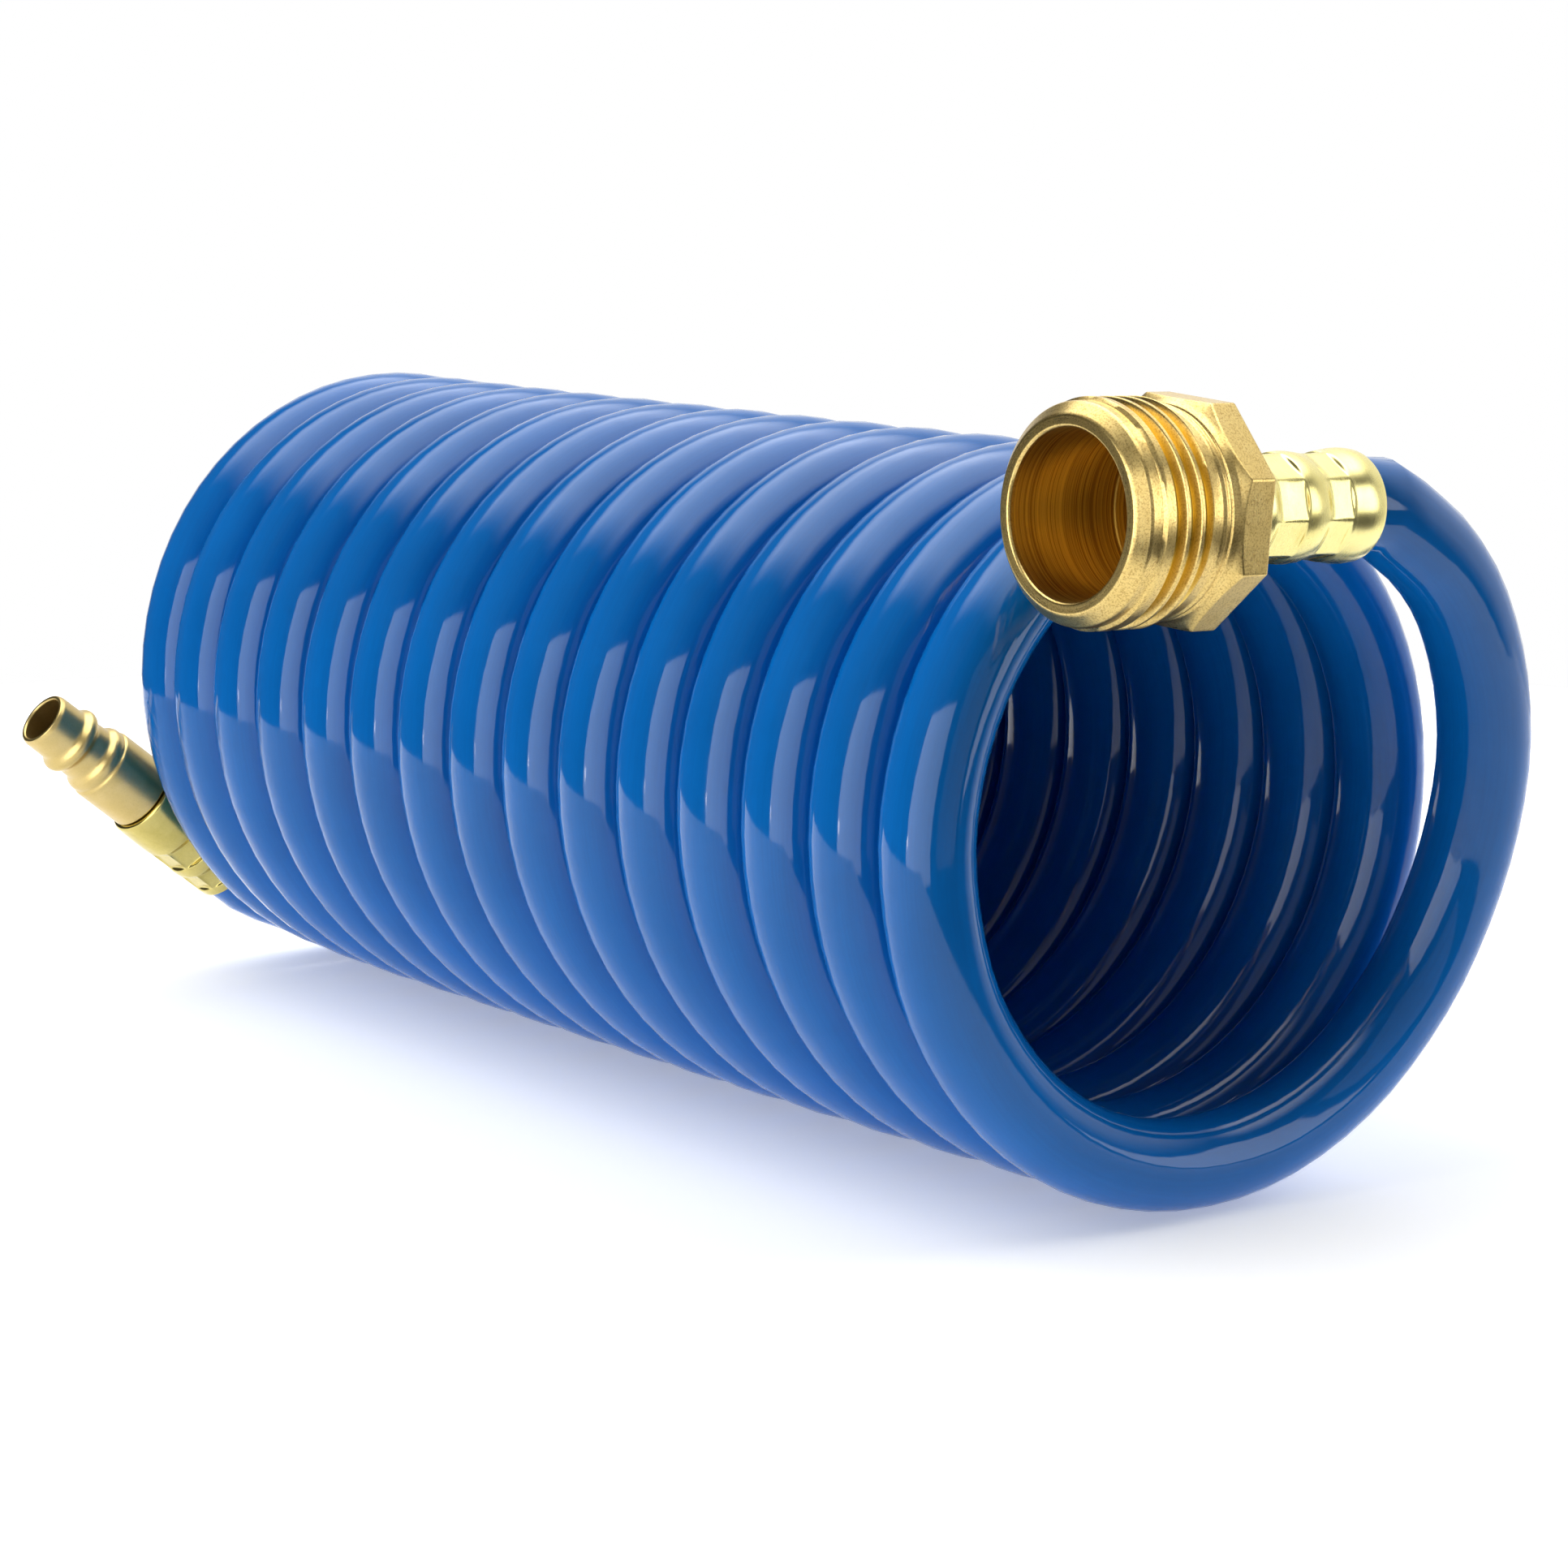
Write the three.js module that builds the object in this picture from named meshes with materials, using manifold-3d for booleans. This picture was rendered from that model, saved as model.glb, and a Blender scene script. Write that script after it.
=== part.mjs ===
// Coiled air hose: a helically wound 8 x 12 mm hose with a crimped brass fitting on each end.
// Millimetres, +Z up. The coil's axis runs along X and the threaded end is at +X.
// The origin is the middle of the whole object's footprint, on the surface that the coil lies on.
import * as THREE from 'three';
import { mergeVertices } from 'three/addons/utils/BufferGeometryUtils.js';
import Module from 'manifold-3d';

const wasm = await Module();
wasm.setup();

// Hose
const hoseOuter = 12;
const hoseBore = 8;
const gap = 0.3;

// Coil
const coilRadius = 41.5;
const pitch = 13;
const turnsBetweenLastTurns = 14;
const coilSides = 20;
const endBow = 1;
const axisHeight = coilRadius + hoseOuter / 2;
const lastTurnX = (turnsBetweenLastTurns / 2) * pitch;

// Threaded end: the last turn spreads forwards and comes over the top into the ferrule.
// Each station is degrees past the top, millimetres in front of the last closed turn, and radius.
const nearStations = [
  [11.5, 18.9, 42.7],
  [26, 18.4, 42.5],
  [34, 17.8, 42.3],
  [44, 16.8, 42],
  [54, 15.6, 41.6],
  [66, 14, 41.5],
  [80, 12.1, 41.5],
  [95, 9.8, 41.5],
  [110, 7.8, 41.5],
  [125, 6.4, 41.5],
  [145, 5.1, 41.5],
  [165, 4.1, 41.5],
  [185, 3.2, 41.5],
  [205, 2.4, 41.5],
  [225, 1.6, 41.5],
  [247, 0.8, 41.5],
  [270, 0, 41.5],
];
const nearTilt = THREE.MathUtils.degToRad(2.2);

// Plug end: the last turn runs on round the coil and leaves at a tangent, nose up.
const farTiltDegrees = 39.2;
const farTilt = THREE.MathUtils.degToRad(farTiltDegrees);
const farTurnDegrees = 270 + farTiltDegrees;
const farMouthRadius = 40;
const farMouthSpread = 1;
const farNarrowing = 90;
const farPointCount = 24;

// Tubes
const tubeSides = 12;
const nearTubeSteps = 32;
const farTubeSteps = 36;
const straightOut = 3.5;

// Ferrules, distances from the mouth of the fitting's end of the hose
const nearFerruleLength = 21;
const farFerruleLength = 20.2;
const ferruleInner = hoseOuter / 2 + gap;
const ferruleStart = 0.6;
const ferruleFlange = 0.7;
const ferruleWall = 6.7;
const ferruleFrontRadius = 6.3;
const frontRounding = 0.35;
const bandDepth = 0.35;
const nearBands = [6.6, 14.1];
const farBands = [4.1, 10.4];
const nearBandHalfWidth = 2;
const farBandHalfWidth = 2.3;
const neckRadius = 4.9;
const arcSteps = 8;
const roundSides = 24;
const fittingSides = 40;

// Stems inside the hose
const stemStart = 1;
const stemRoot = 3.4;
const stemBarb = hoseBore / 2 - gap;
const stemBore = 2.6;
const barbCount = 5;
const barbPitch = 3.4;
const firstBarb = 1.8;
const barbRise = 2.5;
const barbFall = 2.9;

// Threaded fitting (3/4-11.5 male hose thread), distances from the ferrule's mouth
const noseEnd = 45.7;
const noseRadius = 11.3;
const landRadius = 12.95;
const landStart = 42.7;
const chamferStart = 44.2;
const threadCrest = 13.4;
const threadRoot = 12.05;
const threadPitch = 2.21;
const threadCount = 4;
const firstCrest = 35.2;
const crestHalfWidth = 0.3;
const reliefRadius = 12.4;
const reliefEnd = 34.2;
const mouthBore = 9.95;
const mouthBoreEnd = 27.2;
const boreCone = 1.6;
const collarSides = 8;
const collarAcrossFlats = 26.5;
const collarTurn = THREE.MathUtils.degToRad(3.5);
const collarBack = 26;
const collarFront = 31.4;
const collarCornerFront = 29.3;
const collarConeTop = 12.85;
const collarOverlap = 0.6;
const shoulderRadius = 6.6;

// Quick-connect plug, distances from the ferrule's mouth
const plugNose = 42.1;
const plugBore = 3.6;
const plugBoreEnd = 24;
const plugBoreCone = 1;
const plugBody = 5.85;
const bodyEnd = 29.4;
const plugRib = 5.55;
const plugGroove = 4.65;
const plugTube = 4.5;
const ribHalfWidth = 1.5;
const rearRib = 31.05;
const frontRib = 36;
const noseChamfer = 0.3;

const hoseBlue = new THREE.MeshStandardMaterial({ color: 0x0a4fa3, roughness: 0.25, metalness: 0 });
const turnedBrass = new THREE.MeshStandardMaterial({ color: 0xc9a24e, roughness: 0.35, metalness: 1 });
const ferruleBrass = new THREE.MeshStandardMaterial({ color: 0xd9c860, roughness: 0.25, metalness: 1 });
const plugBrass = new THREE.MeshStandardMaterial({ color: 0xd2bc74, roughness: 0.22, metalness: 1 });

function pieceOf(name, geometry, material) {
  const mesh = new THREE.Mesh(geometry, material.clone());
  mesh.name = name;
  return mesh;
}

// Half a wave that stands out from a wall, or sinks into it.
function arc(radius, height, bulge, halfWidth) {
  const points = [];
  for (let i = 0; i <= arcSteps; i++) {
    const t = (i / arcSteps) * Math.PI;
    points.push([radius + bulge * Math.sin(t), height - halfWidth * Math.cos(t)]);
  }
  return points;
}

// A closed outline of [radius, height] points turned about the Y axis.
function turned(outline, sides = roundSides) {
  const points = outline.map(([radius, height]) => new THREE.Vector2(radius, height));
  points.push(points[0].clone());
  return new THREE.LatheGeometry(points, sides);
}

function pointOnCoil(degrees, x, radius) {
  const angle = THREE.MathUtils.degToRad(degrees);
  return new THREE.Vector3(x, endBow + radius * Math.sin(angle), radius * Math.cos(angle));
}

function tubeAlong(points, steps) {
  const section = new THREE.Shape();
  for (let i = 0; i < tubeSides; i++) {
    const angle = (i / tubeSides) * 2 * Math.PI;
    const x = (hoseOuter / 2) * Math.cos(angle);
    const y = (hoseOuter / 2) * Math.sin(angle);
    if (i === 0) section.moveTo(x, y);
    else section.lineTo(x, y);
  }
  const path = new THREE.CatmullRomCurve3(points, false, 'centripetal');
  return new THREE.ExtrudeGeometry(section, { steps, bevelEnabled: false, extrudePath: path });
}

function nearRoute() {
  return nearStations.map(([degrees, forward, radius]) => pointOnCoil(degrees, lastTurnX + forward, radius));
}

function farRoute() {
  const points = [];
  for (let i = 0; i <= farPointCount; i++) {
    const swept = (i / farPointCount) * farTurnDegrees;
    const late = Math.max(0, 1 - (farTurnDegrees - swept) / farNarrowing);
    const ease = late * late * (3 - 2 * late);
    const radius = coilRadius + (farMouthRadius - coilRadius) * ease;
    const x = -lastTurnX - pitch * (swept / 360) - farMouthSpread * ease;
    points.push(pointOnCoil(270 + swept, x, radius));
  }
  return points;
}

// The closed turns between the two last ones, as one ring with a flat underneath.
function coilRing() {
  const toCorner = 1 / Math.cos(Math.PI / coilSides);
  const outer = (coilRadius + hoseOuter / 2) * toCorner;
  const inner = (coilRadius - hoseOuter / 2) * toCorner;
  const half = lastTurnX - hoseOuter / 2 - gap;
  const outline = [
    [inner, -half],
    [outer, -half],
    [outer, half],
    [inner, half],
    [inner, -half],
  ];
  const points = outline.map(([radius, height]) => new THREE.Vector2(radius, height));
  const ring = new THREE.LatheGeometry(points, coilSides, Math.PI / coilSides);
  ring.rotateZ(-Math.PI / 2);
  return ring;
}

// The hose end inside a ferrule, round the stem.
function hoseEnd(ferruleLength) {
  const end = ferruleLength - ferruleFlange - gap;
  return turned([
    [hoseBore / 2, 0],
    [hoseOuter / 2, 0],
    [hoseOuter / 2, end],
    [hoseBore / 2, end],
  ]);
}

// A thin crimped sleeve, pressed in at two bands, with a flange that grips the fitting's neck.
function ferrule(length, bands, bandHalfWidth) {
  const outline = [
    [ferruleInner, ferruleStart],
    [ferruleWall, ferruleStart],
    ...bands.flatMap((band) => arc(ferruleWall, band, -bandDepth, bandHalfWidth)),
    [ferruleFrontRadius, length - frontRounding],
    [ferruleFrontRadius - frontRounding, length],
    [neckRadius + gap, length],
    [neckRadius + gap, length - ferruleFlange],
    [ferruleInner, length - ferruleFlange],
  ];
  return turned(outline);
}

// The outside of a stem with barbs that lean towards the fitting, up to its neck.
function stemOutline(ferruleLength) {
  const neckStart = ferruleLength - ferruleFlange - gap;
  const points = [
    [stemBore, stemStart],
    [stemRoot, stemStart],
  ];
  for (let i = 0; i < barbCount; i++) {
    const start = firstBarb + i * barbPitch;
    points.push([stemRoot, start]);
    points.push([stemBarb, start + barbRise]);
    points.push([stemRoot, start + barbFall]);
  }
  points.push([stemRoot, neckStart]);
  points.push([neckRadius, neckStart]);
  points.push([neckRadius, ferruleLength + gap]);
  return points;
}

function threadOutline() {
  const points = [[reliefRadius, reliefEnd]];
  for (let i = 0; i < threadCount; i++) {
    const crest = firstCrest + i * threadPitch;
    if (i > 0) points.push([threadRoot, crest - threadPitch / 2]);
    points.push([threadCrest, crest - crestHalfWidth]);
    points.push([threadCrest, i < threadCount - 1 ? crest + crestHalfWidth : landStart]);
  }
  return points;
}

function threadedBody() {
  const outline = [
    ...stemOutline(nearFerruleLength),
    [shoulderRadius, nearFerruleLength + gap],
    [shoulderRadius, collarBack + collarOverlap],
    [reliefRadius, collarBack + collarOverlap],
    ...threadOutline(),
    [landRadius, landStart],
    [landRadius, chamferStart],
    [noseRadius, noseEnd],
    [mouthBore, noseEnd],
    [mouthBore, mouthBoreEnd],
    [stemBore, mouthBoreEnd - boreCone],
  ];
  return turned(outline, fittingSides);
}

// The eight-sided wrench collar: its front corners are cut back by a cone, and the bore is left open.
function wrenchCollar() {
  const flat = collarAcrossFlats / 2;
  const corner = flat / Math.cos(Math.PI / collarSides);
  const height = collarFront - collarBack;
  const half = Math.PI / collarSides;
  const prism = new THREE.CylinderGeometry(corner, corner, height, collarSides, 1, false, half - collarTurn);
  prism.translate(0, (collarFront + collarBack) / 2, 0);
  const slope = (collarFront - collarCornerFront) / (corner - collarConeTop);
  const blank = turned(
    [
      [mouthBore + collarOverlap, collarBack - 1],
      [corner + 1, collarBack - 1],
      [corner + 1, collarCornerFront - slope],
      [collarConeTop, collarFront],
      [mouthBore + collarOverlap, collarFront],
    ],
    fittingSides
  );
  return solidOf(prism).intersect(solidOf(blank));
}

function solidOf(geometry) {
  const bare = geometry.clone();
  bare.deleteAttribute('normal');
  bare.deleteAttribute('uv');
  const merged = mergeVertices(bare, 1e-4);
  return new wasm.Manifold(
    new wasm.Mesh({
      numProp: 3,
      vertProperties: new Float32Array(merged.attributes.position.array),
      triVerts: new Uint32Array(merged.index.array),
    })
  );
}

function geometryOf(solid) {
  const mesh = solid.getMesh();
  const geometry = new THREE.BufferGeometry();
  geometry.setAttribute('position', new THREE.BufferAttribute(mesh.vertProperties, 3));
  geometry.setIndex(new THREE.BufferAttribute(mesh.triVerts, 1));
  geometry.computeVertexNormals();
  return geometry;
}

function threadedFitting() {
  return geometryOf(solidOf(threadedBody()).add(wrenchCollar()));
}

function quickPlug() {
  const outline = [
    ...stemOutline(farFerruleLength),
    [plugBody, farFerruleLength + gap],
    [plugBody, bodyEnd],
    ...arc(plugGroove, rearRib, plugRib - plugGroove, ribHalfWidth),
    ...arc(plugTube, frontRib, plugRib - plugTube, ribHalfWidth),
    [plugTube, plugNose - 2 * noseChamfer],
    [plugTube - noseChamfer, plugNose],
    [plugBore, plugNose],
    [plugBore, plugBoreEnd],
    [stemBore, plugBoreEnd - plugBoreCone],
  ];
  return turned(outline);
}

// A fitting's frame: its origin is the ferrule's mouth and its Y axis points out to the nose.
function endAt(mouth, tilt) {
  const end = new THREE.Group();
  end.position.copy(mouth);
  end.rotation.x = Math.PI - tilt;
  return end;
}

// A free stretch of hose starts a gap away from the ferrule's mouth and leaves it straight.
function leaving(points, tilt) {
  const [mouth, ...rest] = points;
  const out = new THREE.Vector3(0, Math.cos(tilt), -Math.sin(tilt));
  const straight = [gap, straightOut].map((distance) => mouth.clone().addScaledVector(out, distance));
  return [...straight, ...rest];
}

const coil = new THREE.Group();

const nearPoints = nearRoute();
const nearEnd = endAt(nearPoints[0], nearTilt);
nearEnd.add(pieceOf('thread_fitting', threadedFitting(), turnedBrass));
nearEnd.add(
  pieceOf('near_ferrule', ferrule(nearFerruleLength, nearBands, nearBandHalfWidth), ferruleBrass)
);
nearEnd.add(pieceOf('hose_near_end', hoseEnd(nearFerruleLength), hoseBlue));

const farPoints = farRoute().reverse();
const farEnd = endAt(farPoints[0], farTilt);
farEnd.add(pieceOf('quick_plug', quickPlug(), plugBrass));
farEnd.add(pieceOf('far_ferrule', ferrule(farFerruleLength, farBands, farBandHalfWidth), ferruleBrass));
farEnd.add(pieceOf('hose_far_end', hoseEnd(farFerruleLength), hoseBlue));

coil.add(pieceOf('hose_coil', coilRing(), hoseBlue));
coil.add(pieceOf('hose_near_lead', tubeAlong(leaving(nearPoints, nearTilt), nearTubeSteps), hoseBlue));
coil.add(pieceOf('hose_far_turn', tubeAlong(leaving(farPoints, farTilt), farTubeSteps), hoseBlue));
coil.add(nearEnd, farEnd);

const airHose = new THREE.Group();
airHose.add(coil);
coil.position.z = axisHeight;
airHose.updateMatrixWorld(true);
const box = new THREE.Box3().setFromObject(airHose, true);
coil.position.x = -(box.min.x + box.max.x) / 2;
coil.position.y = -(box.min.y + box.max.y) / 2;

export default airHose;
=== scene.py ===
"""Looks for the coiled air hose: a wound blue hose, a threaded brass fitting and a quick-connect plug."""

import math

import bmesh
import bpy
import numpy as np
from mathutils import Matrix, Vector


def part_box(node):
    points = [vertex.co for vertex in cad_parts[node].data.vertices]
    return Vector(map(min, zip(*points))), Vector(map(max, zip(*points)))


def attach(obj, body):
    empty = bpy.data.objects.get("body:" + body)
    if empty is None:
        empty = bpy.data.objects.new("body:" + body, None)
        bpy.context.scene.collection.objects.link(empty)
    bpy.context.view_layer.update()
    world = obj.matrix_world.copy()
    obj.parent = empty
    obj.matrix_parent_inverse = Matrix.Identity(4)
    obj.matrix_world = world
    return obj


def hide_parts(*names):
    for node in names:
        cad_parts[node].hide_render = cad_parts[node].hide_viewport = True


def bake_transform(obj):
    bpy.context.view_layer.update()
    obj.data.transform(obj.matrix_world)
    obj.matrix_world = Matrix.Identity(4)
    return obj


MM = 0.001

# Coil, in millimetres, as in the CAD source
AXIS_HEIGHT = 47.5
BOW_CENTRE = 1.0
COIL_RADIUS = 41.5
PITCH = 13.0
TURNS = 14
LAST_TURN_X = TURNS / 2 * PITCH
# The free stretch at the threaded end, as in the CAD source: degrees past the top,
# millimetres in front of the last closed turn, and radius
NEAR_STATIONS = [
    (11.5, 18.9, 42.7),
    (26, 18.4, 42.5),
    (34, 17.8, 42.3),
    (44, 16.8, 42),
    (54, 15.6, 41.6),
    (66, 14, 41.5),
    (80, 12.1, 41.5),
    (95, 9.8, 41.5),
    (110, 7.8, 41.5),
    (125, 6.4, 41.5),
    (145, 5.1, 41.5),
    (165, 4.1, 41.6),
    (185, 3.2, 41.6),
    (205, 2.4, 41.6),
    (225, 1.6, 41.5),
    (247, 0.8, 41.5),
]
NEAR_TILT = math.radians(2.2)
FAR_TILT_DEG = 39.2
FAR_TILT = math.radians(FAR_TILT_DEG)
FAR_TURN_DEG = 270 + FAR_TILT_DEG
FAR_MOUTH_RADIUS = 40.0
FAR_MOUTH_SPREAD = 1.0
FAR_NARROWING = 90.0
FAR_TURN_STEPS = 24
STRAIGHT_OUT = 3.5
# The closed turns bow sideways, and some of the last ones stand out of that bow
BOW = 1.72
LAST_TURN_IN, LAST_TURN_REACH = 0.95, 0.5
TURNS_OUT, TURNS_OUT_AT, TURNS_OUT_SPREAD = 0.4, 11.6, 1.6
HOSE_INSIDE = 20.0
END_STEPS = (-HOSE_INSIDE, -14, -8, -3, 0, STRAIGHT_OUT)
POINTS_PER_TURN = 24
SAMPLE_STEP = 4.0
# A stretched turn's radius is the root of its share, which never falls below this
LEAST_NARROW = 0.05

# Hose, in millimetres; its section's sides as shares of a round one
HOSE_DIAMETER = 12.0
HOSE_WALL = 2.0
OVAL_AXIAL = 6.44 / 6
OVAL_RADIAL = 5.3 / 6
SQUEEZED = 5.75 / 6
LOOSE_AXIAL = 6.1 / 6
LOOSE_RADIAL = 5.85 / 6
LOOSE_END, LOOSE_FADE = 175.0, 60.0

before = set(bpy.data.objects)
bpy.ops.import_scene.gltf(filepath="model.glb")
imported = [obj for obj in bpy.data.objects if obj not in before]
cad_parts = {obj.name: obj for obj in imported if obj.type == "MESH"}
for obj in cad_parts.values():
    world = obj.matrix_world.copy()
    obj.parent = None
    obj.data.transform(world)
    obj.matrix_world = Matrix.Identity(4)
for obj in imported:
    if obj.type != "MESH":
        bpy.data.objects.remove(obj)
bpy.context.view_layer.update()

ring_low, ring_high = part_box("hose_coil")
RING_MIDDLE = (ring_low + ring_high) / 2 / MM
COIL_CENTRE = Vector((RING_MIDDLE.x, RING_MIDDLE.y + BOW_CENTRE, AXIS_HEIGHT))


# ---------------------------------------------------------------- camera

CAMERA_LENS = 90.81
CAMERA_AZIMUTH, CAMERA_ELEVATION = math.radians(52.397), math.radians(9.924)
CAMERA_FROM_COIL = Vector((0.4443, -0.33399, 0.09081))


def make_camera():
    """The photo's camera, solved from the outlines of the turns."""
    data = bpy.data.cameras.new("camera")
    data.sensor_width = 36
    data.lens = CAMERA_LENS
    data.clip_start = 0.01
    data.clip_end = 20
    camera = bpy.data.objects.new("camera", data)
    bpy.context.scene.collection.objects.link(camera)
    level = math.cos(CAMERA_ELEVATION)
    back = Vector(
        (math.sin(CAMERA_AZIMUTH) * level, -math.cos(CAMERA_AZIMUTH) * level, math.sin(CAMERA_ELEVATION))
    )
    camera.location = Vector((RING_MIDDLE.x, RING_MIDDLE.y, AXIS_HEIGHT)) * MM + CAMERA_FROM_COIL
    camera.rotation_mode = "QUATERNION"
    camera.rotation_quaternion = (-back).to_track_quat("-Z", "Y")
    bpy.context.scene.camera = camera


make_camera()


# ---------------------------------------------------------------- route of the hose

def on_coil(degrees, x, radius, bow=1.0):
    angle = math.radians(degrees)
    y = bow - 1.0 + radius * math.sin(angle)
    return COIL_CENTRE + Vector((x, y, radius * math.cos(angle)))


def mouth_axis(tilt):
    """From a ferrule's mouth out along the free hose."""
    return Vector((0, math.cos(tilt), -math.sin(tilt)))


def ease(t):
    t = min(1.0, max(0.0, t))
    return t * t * (3 - 2 * t)


def sideways(turn):
    """How far some of the last turns stand out of the smooth bow."""
    inward = LAST_TURN_IN * ease(1 - abs(turn - TURNS) / LAST_TURN_REACH)
    outward = TURNS_OUT * math.exp(-(((turn - TURNS_OUT_AT) / TURNS_OUT_SPREAD) ** 2))
    return inward - outward


def end_points(mouth, tilt):
    """From deep inside the ferrule to where the hose is free to bend."""
    axis = mouth_axis(tilt)
    return [mouth + axis * d for d in END_STEPS]


def route():
    near = [on_coil(degrees, LAST_TURN_X + forward, radius) for degrees, forward, radius in NEAR_STATIONS]
    near_mouth = near[0]
    points = end_points(near_mouth, NEAR_TILT) + near[1:]
    for i in range(TURNS * POINTS_PER_TURN + 1):
        turn = i / POINTS_PER_TURN
        bow = BOW * ((turn - TURNS / 2) / (TURNS / 2)) ** 2 + 1 - BOW + sideways(turn)
        points.append(on_coil(270 + 360 * turn, LAST_TURN_X - PITCH * turn, COIL_RADIUS, bow))
    for i in range(1, FAR_TURN_STEPS):
        swept = i / FAR_TURN_STEPS * FAR_TURN_DEG
        late = ease(1 - (FAR_TURN_DEG - swept) / FAR_NARROWING)
        radius = COIL_RADIUS + (FAR_MOUTH_RADIUS - COIL_RADIUS) * late
        points.append(
            on_coil(
                270 + swept, -LAST_TURN_X - PITCH * swept / 360 - FAR_MOUTH_SPREAD * late, radius,
                1 + sideways(TURNS + swept / 360),
            )
        )
    far_mouth = on_coil(
        270 + FAR_TURN_DEG, -LAST_TURN_X - PITCH * FAR_TURN_DEG / 360 - FAR_MOUTH_SPREAD, FAR_MOUTH_RADIUS
    )
    points += reversed(end_points(far_mouth, FAR_TILT))
    return np.array([list(p) for p in points]), near_mouth, far_mouth


def smooth_line(points, step):
    """Points step apart along a centripetal Catmull-Rom curve through the given ones."""
    padded = np.vstack([2 * points[0] - points[1], points, 2 * points[-1] - points[-2]])
    dense = []
    for p0, p1, p2, p3 in zip(padded[:-3], padded[1:-2], padded[2:-1], padded[3:]):
        knots = np.cumsum([0] + [math.sqrt(np.linalg.norm(b - a)) for a, b in ((p0, p1), (p1, p2), (p2, p3))])
        for t in np.linspace(knots[1], knots[2], 12, endpoint=False):
            a = [
                (p * (k1 - t) + q * (t - k0)) / (k1 - k0)
                for p, q, k0, k1 in zip((p0, p1, p2), (p1, p2, p3), knots[:-1], knots[1:])
            ]
            b = [
                (a[0] * (knots[2] - t) + a[1] * (t - knots[0])) / (knots[2] - knots[0]),
                (a[1] * (knots[3] - t) + a[2] * (t - knots[1])) / (knots[3] - knots[1]),
            ]
            dense.append((b[0] * (knots[2] - t) + b[1] * (t - knots[1])) / (knots[2] - knots[1]))
    dense.append(points[-1])
    dense = np.array(dense)
    along = np.concatenate([[0], np.cumsum(np.linalg.norm(np.diff(dense, axis=0), axis=1))])
    wanted = np.linspace(0, along[-1], int(round(along[-1] / step)) + 1)
    line = np.column_stack([np.interp(wanted, along, dense[:, i]) for i in range(3)])
    return line, wanted


hose_points, NEAR_MOUTH, FAR_MOUTH = route()
centreline, hose_along = smooth_line(hose_points, SAMPLE_STEP)
hose_length = hose_along[-1] * MM


# ---------------------------------------------------------------- materials

class Nodes:
    """A node tree put together link by link."""

    def __init__(self, tree):
        self.tree = tree

    def node(self, kind, **inputs):
        """A new node; each name is one of its inputs or else one of its settings."""
        made = self.tree.nodes.new(kind)
        for key, value in inputs.items():
            if key in made.inputs:
                self.put(made.inputs[key], value)
            else:
                setattr(made, key, value)
        return made

    def put(self, socket, value):
        if isinstance(value, bpy.types.NodeSocket):
            self.tree.links.new(value, socket)
        else:
            socket.default_value = value

    def math(self, operation, *values):
        made = self.tree.nodes.new("ShaderNodeMath")
        made.operation = operation
        for socket, value in zip(made.inputs, values):
            self.put(socket, value)
        return made.outputs[0]

    def ramp(self, value, low, high, out_low=0.0, out_high=1.0, smooth=False):
        made = self.node("ShaderNodeMapRange", Value=value)
        if smooth:
            made.interpolation_type = "SMOOTHSTEP"
        for key, number in (("From Min", low), ("From Max", high), ("To Min", out_low), ("To Max", out_high)):
            made.inputs[key].default_value = number
        return made.outputs["Result"]


class Shader(Nodes):
    """A node material built on the Principled shader."""

    def __init__(self, name):
        self.material = bpy.data.materials.new(name)
        self.material.use_nodes = True
        super().__init__(self.material.node_tree)
        self.bsdf = self.tree.nodes["Principled BSDF"]

    def mix(self, factor, a, b):
        made = self.tree.nodes.new("ShaderNodeMix")
        made.data_type = "RGBA"
        self.put(made.inputs["Factor"], factor)
        self.put(made.inputs[6], a)
        self.put(made.inputs[7], b)
        return made.outputs[2]

    def noise(self, vector, scale, detail=3.0, roughness=0.5):
        made = self.node("ShaderNodeTexNoise", Vector=vector, Scale=scale, Detail=detail, Roughness=roughness)
        return made.outputs["Fac"]

    def bump(self, height, distance, strength=1.0, normal=None):
        made = self.node("ShaderNodeBump", Strength=strength, Distance=distance, Height=height)
        if normal is not None:
            self.put(made.inputs["Normal"], normal)
        return made.outputs["Normal"]

    def set(self, **values):
        for key, value in values.items():
            self.put(self.bsdf.inputs[key.replace("_", " ")], value)


def rgb(r, g, b):
    def linear(c):
        c /= 255
        return c / 12.92 if c <= 0.04045 else ((c + 0.055) / 1.055) ** 2.4

    return (linear(r), linear(g), linear(b), 1)


HOSE_DEEP, HOSE_BRIGHT = (0.0018, 0.134, 0.465, 1), (0.0018, 0.152, 0.525, 1)
HOSE_STREAK = (0.0018, 0.104, 0.37, 1)


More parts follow.
